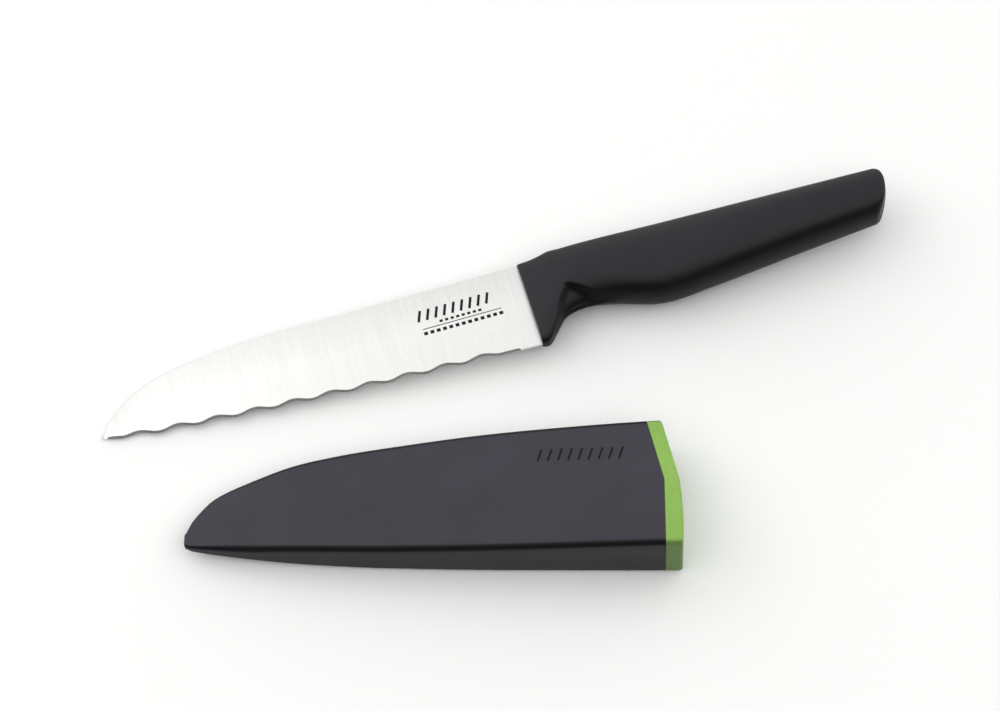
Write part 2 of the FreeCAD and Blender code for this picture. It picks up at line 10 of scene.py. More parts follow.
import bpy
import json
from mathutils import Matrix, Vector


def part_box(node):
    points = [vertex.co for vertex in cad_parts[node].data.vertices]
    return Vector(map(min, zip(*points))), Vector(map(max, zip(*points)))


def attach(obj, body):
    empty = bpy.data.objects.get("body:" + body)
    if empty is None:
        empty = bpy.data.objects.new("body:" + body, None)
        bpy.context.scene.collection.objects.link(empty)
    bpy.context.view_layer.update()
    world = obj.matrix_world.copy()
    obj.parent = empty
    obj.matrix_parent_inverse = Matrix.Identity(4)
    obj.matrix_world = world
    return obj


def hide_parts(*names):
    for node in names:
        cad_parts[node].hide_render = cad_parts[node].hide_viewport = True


bl_info = {
    "name": "Bread Knife Looks",
    "version": (1, 0, 0),
    "blender": (4, 5, 0),
    "location": "3D View > Sidebar > Bread Knife",
    "description": "Makes the blade, grip, scabbard and stage of a bread knife",
    "category": "Object",
}

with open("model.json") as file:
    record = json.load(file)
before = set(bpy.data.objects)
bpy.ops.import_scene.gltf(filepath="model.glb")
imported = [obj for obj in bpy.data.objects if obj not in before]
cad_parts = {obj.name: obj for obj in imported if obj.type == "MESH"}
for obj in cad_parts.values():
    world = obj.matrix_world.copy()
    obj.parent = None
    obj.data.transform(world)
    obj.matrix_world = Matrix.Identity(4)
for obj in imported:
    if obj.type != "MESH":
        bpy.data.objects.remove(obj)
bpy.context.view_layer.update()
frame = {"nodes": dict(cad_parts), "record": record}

import json
import math

import bmesh
import bpy
from bpy.props import FloatProperty, FloatVectorProperty, IntProperty, PointerProperty
from mathutils import Matrix, Vector

MM = 0.001


def linear(hex_colour):
    """Linear red, green and blue of an sRGB hex colour."""
    channels = [int(hex_colour[i:i + 2], 16) / 255 for i in (1, 3, 5)]
    return [c / 12.92 if c <= 0.04045 else ((c + 0.055) / 1.055) ** 2.4 for c in channels]


def mm(value, name, description):
    """A length property in metres, given in millimetres."""
    return FloatProperty(name=name, description=description, default=value * MM,
                         min=0.0, subtype="DISTANCE", unit="LENGTH", precision=5)


def colour(hex_colour, name, description):
    return FloatVectorProperty(name=name, description=description, subtype="COLOR",
                               default=linear(hex_colour), min=0.0, max=1.0)


class KnifeSizes(bpy.types.PropertyGroup):
    """Sizes of the knife, which follow the CAD's."""
    blade_length: mm(146.8, "Blade length", "From the front of the handle to the tip")
    blade_height: mm(30.4, "Blade height", "Spine to edge at the heel")
    blade_thickness: mm(1.6, "Blade thickness", "Thickness of the steel at the spine")
    edge_thickness: mm(0.9, "Thickness at the bevel", "Thickness where the bevel starts")
    bevel_width: mm(0.62, "Bevel width", "Width of the ground cutting bevel")
    wave_pitch: mm(12.7, "Wave pitch", "Distance between two waves of the edge")
    wave_depth: mm(1.3, "Wave depth", "Depth of a wave, tooth to hollow")
    handle_length: mm(128.0, "Handle length", "Front of the handle to the top of its butt")
    mark_strokes: IntProperty(name="Mark strokes", default=9, min=1,
                              description="Strokes in the etched mark")


class ScabbardSizes(bpy.types.PropertyGroup):
    """Sizes of the scabbard, which follow the CAD's."""
    length: mm(153.4, "Shell length", "Mouth joint to nose")
    height: mm(44.9, "Mouth height", "Edge wall to spine wall at the mouth")
    thickness: mm(22.6, "Mouth thickness", "Thickness over both faces at the mouth")
    wall: mm(2.0, "Wall", "Wall of the shells")
    rim: mm(2.3, "Rim radius", "Rounding between the faces and the walls")
    collar: mm(4.9, "Collar width", "Width of the coloured mouth collar")
    slot: mm(5.2, "Slot width", "Width of the blade's slot")
    mark_bars: IntProperty(name="Mark bars", default=9, min=1,
                           description="Bars in the sunk mark near the mouth")


class Finishes(bpy.types.PropertyGroup):
    """Colours of the finishes."""
    steel: colour("#e9e8e6", "Steel", "Brushed stainless steel")
    grip: colour("#262629", "Grip", "Black moulded grip")
    casing: colour("#39383e", "Casing", "Black moulded scabbard")
    collar: colour("#7ea44e", "Collar", "Light green mouth collar")
    ceramic: colour("#e6dfd0", "Ceramic", "Sharpening plates")
    etch: colour("#151516", "Etching", "Dark etched mark on the blade")
    floor: colour("#e6e6e5", "Floor", "Pale studio floor")


# ----------------------------------------
# The two drawing frames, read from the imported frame
# ----------------------------------------
JOINTS = {joint["name"]: joint for joint in frame["record"]["behaviour"]["joints"]}
PIVOT = Vector((-34.0, 5.2, 0.0))
KNIFE_PITCH = math.radians(2.7514)
TIP = Vector((-146.8, -20.4, -0.8))


def scabbard_matrix():
    """Scabbard frame in millimetres to the row frame in metres, from the sharpener's pivot."""
    tilt = JOINTS["sharpener_tilt"]
    up = Vector(tilt["axis"]).normalized()
    turn = Matrix.Rotation(math.atan2(up.x, up.z), 4, "Y")
    at_origin = turn @ Matrix.Scale(MM, 4)
    shift = Vector(tilt["pos_m"]) - at_origin @ PIVOT
    return Matrix.Translation(shift) @ at_origin


def knife_matrix():
    """Knife frame in millimetres to the row frame in metres, from the blade's tip."""
    along = Vector(JOINTS["knife_draw"]["axis"])
    yaw = Matrix.Rotation(math.atan2(along.y, along.x), 4, "Z")
    at_origin = yaw @ Matrix.Rotation(-KNIFE_PITCH, 4, "Y") @ Matrix.Scale(MM, 4)
    return Matrix.Translation(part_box("blade")[0] - at_origin @ TIP) @ at_origin


SCABBARD = scabbard_matrix()
KNIFE = knife_matrix()


# ----------------------------------------
# Curves
# ----------------------------------------
def hermite(x, knots):
    """A smooth line through knots given as place, value and slope."""
    for (x0, v0, s0), (x1, v1, s1) in zip(knots, knots[1:]):
        if x <= x1 or (x1, v1, s1) == knots[-1]:
            span = x1 - x0
            t = (x - x0) / span
            return (
                v0 * (1 - t) ** 2 * (1 + 2 * t)
                + v1 * t ** 2 * (3 - 2 * t)
                + s0 * span * t * (1 - t) ** 2
                - s1 * span * t ** 2 * (1 - t)
            )


def with_slopes(points):
    """Knots from places and values, each with the slope between its neighbours."""
    knots = []
    for i, (x, v) in enumerate(points):
        before = points[max(i - 1, 0)]
        after = points[min(i + 1, len(points) - 1)]
        knots.append((x, v, (after[1] - before[1]) / (after[0] - before[0])))
    return knots


def ease(x, start, end):
    """0 before start, 1 after end, and a smooth rise between."""
    t = min(1.0, max(0.0, (x - start) / (end - start)))
    return t * t * (3 - 2 * t)


def bump(x, middle, width):
    return math.exp(-((x - middle) / width) ** 2)


# ----------------------------------------
# Meshes
# ----------------------------------------
def mesh_object(name, points, faces, place, smooth=True):
    """A mesh object at the origin, from points in a drawing frame."""
    mesh = bpy.data.meshes.new(name)
    mesh.from_pydata([place @ Vector(p) for p in points], [], faces)
    mesh.validate()
    for face in mesh.polygons:
        face.use_smooth = smooth
    piece = bpy.data.objects.new(name, mesh)
    bpy.context.scene.collection.objects.link(piece)
    return piece


def outward(piece, merge=2e-6):
    """Merge doubles and turn the faces of a closed mesh outwards."""
    work = bmesh.new()
    work.from_mesh(piece.data)
    bmesh.ops.remove_doubles(work, verts=work.verts, dist=merge)
    bmesh.ops.recalc_face_normals(work, faces=work.faces)
    work.to_mesh(piece.data)
    work.free()


def sharpen(piece, degrees):
    """Smooth shading with hard edges where faces meet at more than an angle."""
    piece.data.set_sharp_from_angle(angle=math.radians(degrees))


def rings_to_faces(count, around, closed=True, first=0):
    """Quads between rings of points that are listed one ring after another."""
    faces = []
    for i in range(count - 1):
        for j in range(around if closed else around - 1):
            k = (j + 1) % around
            a, b = first + i * around, first + (i + 1) * around
            faces.append((a + j, a + k, b + k, b + j))
    return faces


def finish_piece(piece, body, slot, *nodes):
    """What body a piece rides on, and what nodes it replaces; the slot argument, for its finish,
    is not used.
    """
    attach(piece, body)
    if nodes:
        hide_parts(*nodes)


# ----------------------------------------
# Materials
# ----------------------------------------
def add(tree, kind, inputs=None, **settings):
    """A node with its settings, and its inputs as values or as links from other sockets."""
    node = tree.nodes.new(kind)
    for key, value in settings.items():
        setattr(node, key, value)
    for key, value in (inputs or {}).items():
        if isinstance(value, bpy.types.NodeSocket):
            tree.links.new(value, node.inputs[key])
        else:
            node.inputs[key].default_value = value
    return node


def new_material(name):
    """A material, its node tree and its Principled shader."""
    material = bpy.data.materials.new(name)
    material.use_nodes = True
    tree = material.node_tree
    shader = tree.nodes["Principled BSDF"]
    return material, tree, shader


def rgba(value):
    return (*value[:3], 1.0)


def shaded(value, factor):
    return (*[min(1.0, c * factor) for c in value[:3]], 1.0)


def local_coordinates(tree, matrix):
    """Object coordinates turned into a drawing frame, in millimetres."""
    inverse = matrix.inverted()
    source = add(tree, "ShaderNodeTexCoord").outputs["Object"]
    return add(tree, "ShaderNodeMapping", {
        "Vector": source,
        "Location": inverse.to_translation(),
        "Rotation": inverse.to_euler("XYZ"),
        "Scale": inverse.to_scale(),
    }).outputs["Vector"]


def streaks(tree, place, stretch, **settings):
    """Noise drawn out by a scale for each axis of a drawing frame."""
    lines = add(tree, "ShaderNodeMapping", {"Vector": place, "Scale": stretch})
    return add(tree, "ShaderNodeTexNoise", {"Vector": lines.outputs["Vector"], "Scale": 1.0,
                                            **settings}).outputs["Fac"]


def spread(tree, value, low, high, to_low=0.0, to_high=1.0, **settings):
    """A value's range turned into another one, and cut off at its ends."""
    return add(tree, "ShaderNodeMapRange", {"Value": value, "From Min": low, "From Max": high,
                                            "To Min": to_low, "To Max": to_high},
               **settings).outputs["Result"]


def total(tree, first, second):
    return add(tree, "ShaderNodeMath", {0: first, 1: second}, operation="ADD").outputs[0]


def paint(tree, shader, share, first, second):
    """A base colour that a share mixes from two."""
    tint = add(tree, "ShaderNodeMix", {"Factor": share, "A": first, "B": second},
               data_type="RGBA")
    tree.links.new(tint.outputs["Result"], shader.inputs["Base Color"])


def finish_surface(tree, shader, rough, height, strength, distance):
    """Roughness from one socket, and a relief from another."""
    relief = add(tree, "ShaderNodeBump", {"Height": height, "Strength": strength,
                                          "Distance": distance})
    tree.links.new(rough, shader.inputs["Roughness"])
    tree.links.new(relief.outputs["Normal"], shader.inputs["Normal"])


def brushed_stainless():
    """Stainless steel sheet, belt-brushed across the blade: bright, with fine streaks across."""
    finishes = bpy.context.scene.knife_finishes
    material, tree, shader = new_material("brushed_stainless_steel")
    place = local_coordinates(tree, KNIFE)
    # belt lines 0.25 mm apart and about 12 mm long, coarser than real so that they show
    fine = streaks(tree, place, (4.0, 0.08, 0.5), Detail=3.0, Roughness=0.6)
    broad = streaks(tree, place, (0.5, 0.03, 0.1), Detail=2.0)
    tone = spread(tree, total(tree, fine, broad), 0.6, 1.4, 0.12, -0.12)
    # a little greyer towards the spine
    across = add(tree, "ShaderNodeSeparateXYZ", {"Vector": place})
    towards_spine = spread(tree, across.outputs["Y"], -15.0, 1.0, 0.0, 0.34)
    paint(tree, shader, total(tree, tone, towards_spine), rgba(finishes.steel),
          shaded(finishes.steel, 0.62))
    rough = spread(tree, fine, 0.3, 0.7, 0.24, 0.34)
    finish_surface(tree, shader, rough, fine, 0.12, 0.02 * MM)
    shader.inputs["Metallic"].default_value = 1.0
    return material


def ground_bevel():
    """The cutting bevel, ground on a finer wheel and at a steeper angle: a grey line, shaded by
    its slant and by painted shade in its colour.
    """
    finishes = bpy.context.scene.knife_finishes
    material, tree, shader = new_material("ground_steel_bevel")
    place = local_coordinates(tree, KNIFE)
    # painted shade: the bevel's steel is darkened to between 6 and 28 per cent of the blade's
    # colour
    paint(tree, shader, streaks(tree, place, (2.5, 0.6, 0.6), Detail=3.0),
          shaded(finishes.steel, 0.06), shaded(finishes.steel, 0.28))
    shader.inputs["Metallic"].default_value = 1.0
    shader.inputs["Roughness"].default_value = 0.38
    return material


def moulded_plastic(name, base, roughness, grain_mm, relief_mm, place, gloss=0.5, ior=1.5,
                    painted_wall_shade=None):
    """A moulded plastic with a spark-eroded grain, slightly uneven in tone and in gloss.

    The last argument gives rims and walls that face across the drawing frame painted shade: their
    colour is darkened against the grained faces. It holds the painted shade of rim and wall as
    shares of the face's colour, and the slants where the rim's shade starts, where it's full and
    where the wall's starts, as sines."""
    material, tree, shader = new_material(name)
    where = local_coordinates(tree, place)
    grain = add(tree, "ShaderNodeTexNoise", {"Vector": where, "Scale": 1 / grain_mm,
                                             "Detail": 2.0, "Roughness": 0.6})
    cloud = add(tree, "ShaderNodeTexNoise", {"Vector": where, "Scale": 0.05, "Detail": 4.0})
    speckle = total(tree, grain.outputs["Fac"], cloud.outputs["Fac"])
    paint(tree, shader, spread(tree, speckle, 0.6, 1.4), shaded(base, 0.86), shaded(base, 1.14))
    # painted shade: the colour of rims and walls that face across the drawing frame is scaled down
    if painted_wall_shade:
        rim_shade_share, wall_shade_share, rim_start, rim_full, wall_start = painted_wall_shade
        across = place.to_3x3() @ Vector((0, 1, 0))
        facing = add(tree, "ShaderNodeNewGeometry").outputs["Normal"]
        slant = add(tree, "ShaderNodeVectorMath", {0: facing, 1: across.normalized()},
                    operation="DOT_PRODUCT")
        amount = add(tree, "ShaderNodeMath", {0: slant.outputs["Value"]},
                     operation="ABSOLUTE").outputs[0]
        rim = spread(tree, amount, rim_start, rim_full, 1.0, rim_shade_share,
                     interpolation_type="SMOOTHSTEP")
        wall = spread(tree, amount, wall_start, 1.0, 0.0, wall_shade_share - rim_shade_share)
        even = shader.inputs["Base Color"].links[0].from_socket
        painted_shade_colour = add(tree, "ShaderNodeVectorMath", {0: even, "Scale": total(tree, rim, wall)},
                    operation="SCALE")
        tree.links.new(painted_shade_colour.outputs["Vector"], shader.inputs["Base Color"])
    rough = spread(tree, cloud.outputs["Fac"], 0.3, 0.7, roughness - 0.04, roughness + 0.04)
    finish_surface(tree, shader, rough, grain.outputs["Fac"], 0.35, relief_mm * MM)
    shader.inputs["Specular IOR Level"].default_value = gloss
    shader.inputs["IOR"].default_value = ior
    return material


def black_grip_plastic():
    """Soft-touch black elastomer, moulded with a fine satin grain of about 0.3 mm."""
    base = bpy.context.scene.knife_finishes.grip
    # painted shade darkens the grip's rims and the walls of its back and belly
    return moulded_plastic("satin_black_elastomer", base, 0.42, 0.35, 0.02, KNIFE, 0.14,
                           painted_wall_shade=(0.22, 0.2, 0.25, 0.72, 0.95))


def black_casing_plastic():
    """Black polypropylene casing, moulded with a fine satin grain of about 0.4 mm."""
    base = bpy.context.scene.knife_finishes.casing
    # painted shade darkens the scabbard's rims and its edge and spine walls
    return moulded_plastic("satin_black_polypropylene", base, 0.42, 0.4, 0.02, SCABBARD, 0.12,
                           ior=1.49, painted_wall_shade=(0.1, 0.5, 0.12, 0.5, 0.9))


def green_collar_plastic():
    """Light green ABS, moulded smooth: a soft sheen with hardly any grain."""
    base = bpy.context.scene.knife_finishes.collar
    # painted shade darkens the collar's rims and its edge and spine walls
    return moulded_plastic("smooth_green_abs", base, 0.38, 0.6, 0.008, SCABBARD, 0.2,
                           ior=1.53, painted_wall_shade=(0.5, 0.5, 0.3, 0.8, 0.9))


def rocker_plastic():
    """Glass-filled nylon of the sharpener's rocker: dark, dull and slightly mottled."""
    base = linear("#303134")
    return moulded_plastic("dull_filled_nylon", base, 0.55, 0.5, 0.03, SCABBARD)


def ground_ceramic():
    """Fired alumina plates, ground flat: off-white, dense and fine-grained."""
    base = bpy.context.scene.knife_finishes.ceramic
    return moulded_plastic("ground_alumina_ceramic", base, 0.5, 0.2, 0.01, SCABBARD)


def drawn_spring_steel():
    """Drawn spring steel of the pin and the return spring: grey, with lines along it."""
    material, tree, shader = new_material("drawn_spring_steel")
    place = local_coordinates(tree, SCABBARD)
    paint(tree, shader, streaks(tree, place, (0.1, 4.0, 4.0), Detail=3.0),
          rgba(linear("#8f9092")), rgba(linear("#b9babb")))
    shader.inputs["Metallic"].default_value = 1.0
    shader.inputs["Roughness"].default_value = 0.3
    return material


def etched_oxide():
    """Electro-etched mark: a dark matt oxide with a slightly uneven tone."""
    base = bpy.context.scene.knife_finishes.etch
    return moulded_plastic("dark_etched_oxide", base, 0.7, 0.3, 0.005, KNIFE, gloss=0.2)


def sunk_shadow():
    """The polished floor of a shallow sunk mark: the same black plastic, darkened with painted
    shadow against the grain.
    """
    return moulded_plastic("polished_black_polypropylene_painted_shadow", linear("#0b0b0c"), 0.3, 0.8, 0.003,
                           SCABBARD, 0.15)


def studio_floor():
    """Pale painted board, matt, with a hardly visible unevenness."""
    base = bpy.context.scene.knife_finishes.floor
    material, tree, shader = new_material("pale_matt_board")
    where = add(tree, "ShaderNodeTexCoord").outputs["Object"]
    noise = add(tree, "ShaderNodeTexNoise", {"Vector": where, "Scale": 8.0, "Detail": 3.0})
    paint(tree, shader, noise.outputs["Fac"], shaded(base, 0.995), shaded(base, 1.005))
    shader.inputs["Roughness"].default_value = 0.9
    shader.inputs["Specular IOR Level"].default_value = 0.1
    return material


MADE = {}


def material(maker):
    """One material for each maker, made once."""
    if maker.__name__ not in MADE:
        MADE[maker.__name__] = maker()
    return MADE[maker.__name__]


# ----------------------------------------
# Blade
# ----------------------------------------
SPINE_STRAIGHT = 84.0
SHOULDER = Vector((121.0, 3.7))
TIP_DROP = 20.4
BELLY = Vector((130.0, 23.7))
EDGE_SAG = 1.1
PLAIN_HEEL = 13.8
UNGROUND_HEEL = 7.5
TANG_LENGTH, TANG_TOP, TANG_LOW = 96.0, -4.5, -17.5


def arc_drop(d, start, end, slope):
    """Height of an arc that leaves start with a slope and reaches end, at distance d."""
    span = end - start
    lean = math.atan(slope)
    chord = math.atan2(span.y, span.x)
    turn = chord - lean
    radius = span.length / (2 * math.sin(turn))
    centre = start + Vector((-math.sin(lean), math.cos(lean))) * radius
    reach = max(0.0, radius * radius - (d - centre.x) ** 2)
    return centre.y - math.copysign(math.sqrt(reach), radius)


def arc_end_slope(start, end, slope):
    chord = math.atan2(end.y - start.y, end.x - start.x)
    return math.tan(2 * chord - math.atan(slope))


def spine_drop(d, length):
    """How far the spine has dropped at distance d from the handle."""
    if d <= SPINE_STRAIGHT:
        return 0.0
    start = Vector((SPINE_STRAIGHT, 0.0))
    if d <= SHOULDER.x:
        return arc_drop(d, start, SHOULDER, 0.0)
    slope = arc_end_slope(start, SHOULDER, 0.0)
    return arc_drop(d, SHOULDER, Vector((length, TIP_DROP)), slope)


def edge_line(d, length, height):
    """Depth of the edge's base line under the spine line at distance d from the handle."""
    heel = Vector((0.0, height))
    chord = BELLY - heel
    radius = (chord.length ** 2 / 4 + EDGE_SAG ** 2) / (2 * EDGE_SAG)
    normal = Vector((chord.y, -chord.x)).normalized()
    centre = (heel + BELLY) / 2 + normal * (radius - EDGE_SAG)
    if d <= BELLY.x:
        return centre.y + math.sqrt(radius ** 2 - (d - centre.x) ** 2)
    slope = -(BELLY.x - centre.x) / (BELLY.y - centre.y)
    t = (d - BELLY.x) / (length - BELLY.x)
    straight = BELLY.y + slope * (d - BELLY.x)
    rest = TIP_DROP - (BELLY.y + slope * (length - BELLY.x))
    return straight + rest * t * t


def wave(d, sizes, length):
    """How far the scallops lift the edge at distance d from the handle."""
    pitch = sizes.wave_pitch / MM
    turn = 2 * math.pi * (d - PLAIN_HEEL) / pitch
    window = ease(d, PLAIN_HEEL - 3.0, PLAIN_HEEL + 3.0) * (1 - ease(d, length - 9, length - 2))
    return sizes.wave_depth / MM * 0.5 * (1 - math.cos(turn)) * window


class BREADKNIFE_OT_blade(bpy.types.Operator):
    """Make the brushed blade with its waved edge, ground bevel and tang"""
    bl_idname = "bread_knife.blade"
    bl_label = "Blade"

    def execute(self, context):
        sizes = context.scene.knife_sizes
        length = sizes.blade_length / MM
        height = sizes.blade_height / MM
        spine_half = sizes.blade_thickness / MM / 2
        bevel_half = sizes.edge_thickness / MM / 2
        fine_edge = 0.06
        rows = 12
        inside_grip = 2.0

        # columns are closer together near the tip, where the spine turns down
        count = 420
        columns = [-inside_grip, -0.5]
        columns += [length * (1 - (1 - i / count) ** 1.25) for i in range(count)]
        points = []
        for d in columns:
            top = spine_drop(d, length)
            low = edge_line(max(d, 0.0), length, height) - wave(d, sizes, length)
            low = max(low, top + 0.02)
            ground = ease(d, UNGROUND_HEEL - 1, UNGROUND_HEEL + 1)
            ground *= 1 - 0.35 * ease(d, length - 4, length)
            width = min(sizes.bevel_width / MM * ground, (low - top) * 0.5) + 0.02
            start = low - width
            crown = min(0.18, (start - top) * 0.3)
            thin = 1 - 0.7 * ease(d, length - 5, length)
            side = [(top, spine_half - 0.18), (top + crown, spine_half)]
            for k in range(1, rows):
                share = k / rows
                y = top + crown + (start - top - crown) * share
                side.append((y, spine_half + (bevel_half - spine_half) * share))
            side.append((start, bevel_half))
            side.append((low, fine_edge if ground > 0.5 else bevel_half * 0.9))
            ring = [(-d, -y, z * thin) for y, z in side]
            ring += [(-d, -y, -z * thin) for y, z in reversed(side)]
            points += ring
        around = len(ring)
        faces = rings_to_faces(len(columns), around)
        faces.append(tuple(range(around)))
        faces.append(tuple(range(len(points) - around, len(points)))[::-1])

        # the tang goes on inside the handle
        first = len(points)
        half = spine_half * 0.98
        for x in (-1.0, TANG_LENGTH):
            points += [(x, TANG_TOP, half), (x, TANG_LOW, half),
                       (x, TANG_LOW, -half), (x, TANG_TOP, -half)]
        faces += [(first + j, first + (j + 1) % 4, first + 4 + (j + 1) % 4, first + 4 + j)
                  for j in range(4)]
        faces += [tuple(first + j for j in range(4)), tuple(first + 4 + j for j in range(4))]

        piece = mesh_object("blade_steel", points, faces, KNIFE)
        outward(piece)
        piece.data.materials.append(material(brushed_stainless))
        piece.data.materials.append(material(ground_bevel))
        back = KNIFE.inverted()
        for face in piece.data.polygons:
            middle = back @ face.center
            if middle.x > -UNGROUND_HEEL or middle.x < -length:
                continue
            normal = (back.to_3x3() @ face.normal).normalized()
            if abs(normal.z) < 0.93 and normal.y < 0:
                face.material_index = 1
        sharpen(piece, 14)
        finish_piece(piece, "knife", "steel", "blade")
        return {"FINISHED"}


# ----------------------------------------
# Grip
# ----------------------------------------
GRIP_BACK = with_slopes([(0, 0.1), (4.5, 0.1), (7.5, 0.45), (11, 1.25), (15, 1.15),
                         (60, -0.3), (128, -1.8)])
GRIP_BELLY = with_slopes([(0, -30.7), (2.4, -30.8), (6, -27.6), (10, -23.4), (15, -21.8),
                          (21, -21.7), (30, -22.9), (44, -26.5), (60, -25.5), (90, -22.3),
                          (128, -18.6)])
GRIP_THICKNESS = [(0, 7.8, 0.7), (28, 18.4, 0.1), (62, 19.36, 0), (128, 16.4, -0.04)]
GRIP_FRONT = [0.0, 0.15, 0.4, 0.8, 1.3, 1.8]
GUARD_MIDDLE = Vector((-15.4, 0.0))
RECESS_END = 44.0
BUTT_RIM = 1.3
BUTT_REACH = 125.4
BUTT_PEAK = 5.5
BUTT_CORNER = 3.5
SCOOP_DEPTH = 2.3


def scoop(x, y):
    """How deep the finger scoop lies under the side at a place.

    It starts sharply along a crease that runs up from the guard's tip and then back, and fades
    out towards the palm."""
    behind = x - hermite(y, SCOOP_FRONT)
    under = hermite(min(max(x, 8.0), 34.0), SCOOP_TOP) - y
    into = min(1.0, max(0.0, behind / 3.2))
    below = min(1.0, max(0.0, under / 3.0))
    full = (1 - (1 - into) ** 2.2) * (1 - (1 - below) ** 2.2)
    return SCOOP_DEPTH * full * (1 - ease(x, 16.0, 36.0))


SCOOP_FRONT = with_slopes([(-32, 3.2), (-28.5, 4.4), (-24, 6.9), (-19, 9.3), (-15.5, 11.6),
                           (-5, 12.5)])
SCOOP_TOP = with_slopes([(8, -14.5), (13, -14.0), (17, -16.2), (22, -19.2), (34, -21.5)])


def grip_point(x, turn):
    """A point of the grip's surface at distance x from the front, at a turn round its section.

    The section is flat-sided and sharp below at the guard, and rounder in the finger recess."""
    top = hermite(x, GRIP_BACK)
    low = hermite(x, GRIP_BELLY)
    half = hermite(x, GRIP_THICKNESS) / 2
    across, out = math.cos(turn), math.sin(turn)
    guard = 1 - ease(x, 5.0, 15.0)
    squareness = 2.6 + 0.9 * guard
    if across < 0:
        squareness = 2.45 - 0.45 * bump(x, 22, 9) + 1.2 * guard
    power = 2 / squareness
    y = (top + low) / 2 + math.copysign(abs(across) ** power, across) * (top - low) / 2
    side = abs(out) ** power * half
    side = max(side - scoop(x, y) * min(1.0, side / 3.0), side * 0.4)
    return Vector((x, y, math.copysign(side, out)))


def butt_end(y, top):
    """Where the butt ends at a height: one bulge, farthest out high up, over a rounded corner."""
    down = max(0.0, top - y)
    end = BUTT_REACH - 0.036 * (down - BUTT_PEAK) ** 2
    if down < BUTT_CORNER:
        end -= 1.6 * (1 - math.sqrt(1 - (1 - down / BUTT_CORNER) ** 2))
    return end


class BREADKNIFE_OT_grip(bpy.types.Operator):
    """Make the moulded grip with its guard, finger recess and raked butt"""
    bl_idname = "bread_knife.grip"
    bl_label = "Grip"

    def execute(self, context):
        stretch = context.scene.knife_sizes.handle_length / MM / 128.0
        around, fine_steps, steps, corners = 144, 90, 60, 6
        turns = [2 * math.pi * j / around for j in range(around)]
        front = GRIP_FRONT[-1]
        places = GRIP_FRONT[:-1] + [front + (RECESS_END - front) * i / fine_steps
                                    for i in range(1, fine_steps + 1)]
        points = []
        for x in places:
            for turn in turns:
                spot = grip_point(x, turn)
                if x < GRIP_FRONT[2]:
                    spot.yz = GUARD_MIDDLE + (spot.yz - GUARD_MIDDLE) * 0.985
                points.append(spot)
        top = hermite(BUTT_REACH, GRIP_BACK)
        ends = [butt_end(grip_point(BUTT_REACH, turn).y, top) - BUTT_RIM for turn in turns]
        for i in range(1, steps + 1):
            for turn, end in zip(turns, ends):
                points.append(grip_point(RECESS_END + (end - RECESS_END) * i / steps, turn))
        # the butt: its rim rounds off, and a gently domed cap closes it
        last = points[-around:]
        centre = sum(last, Vector()) / around
        for step in range(1, corners + 1):
            angle = math.pi / 2 * step / corners
            for spot in last:
                arm = (spot - centre).yz
                inner = centre.yz + arm * (1 - BUTT_RIM * (1 - math.cos(angle)) / arm.length)
                out = butt_end(inner.x, top) - BUTT_RIM * (1 - math.sin(angle))
                points.append(Vector((out, *inner)))
        flat = points[-around:]
        cap = (0.9, 0.75, 0.5, 0.25, 0.08)
        for share in cap:
            for spot in flat:
                inner = centre.yz + (spot - centre).yz * share
                points.append(Vector((butt_end(inner.x, top) + 0.5 * (1 - share ** 2), *inner)))
        points = [Vector((spot.x * stretch, spot.y, spot.z)) for spot in points]
        faces = rings_to_faces(len(places) + steps + corners + len(cap), around)
        faces.append(tuple(range(around)))
        faces.append(tuple(range(len(points) - around, len(points)))[::-1])
        piece = mesh_object("grip_moulding", points, faces, KNIFE)
        outward(piece)
        sharpen(piece, 40)
        piece.data.materials.append(material(black_grip_plastic))
        finish_piece(piece, "knife", "grip", "handle_grip")
        return {"FINISHED"}


# ----------------------------------------
# Scabbard casing
# ----------------------------------------
# Share of the shell's length, edge wall's rise and spine's fall as shares of the mouth's height,
# half thickness as a share of what the straight taper gives, as in the CAD.
STATIONS = [
    (-0.05, 0.0, -0.005, 1.0),
    (0.16, 0.0, 0.0235, 1.0),
    (0.38, 0.003, 0.0735, 1.0),
    (0.58, 0.016, 0.153, 1.0),
    (0.68, 0.03, 0.203, 0.99),
    (0.78, 0.048, 0.274, 0.91),
    (0.87, 0.07, 0.385, 0.71),
    (0.94, 0.098, 0.503, 0.51),
    (0.975, 0.116, 0.628, 0.37),
    (0.988, 0.125, 0.695, 0.31),
    (1.0, 0.145, 0.79, 0.25),
]
RISE = with_slopes([(row[0], row[1]) for row in STATIONS])
FALL = with_slopes([(row[0], row[2]) for row in STATIONS])
SLIM = with_slopes([(row[0], row[3]) for row in STATIONS])
FACE_TAPER = 0.0386
FACET_SLOPE = 0.06
FACET_TRIM = 0.06
MOUTH_RAKE = math.radians(13.5)
CREASE = 0.5
HOLLOW_END = 0.94


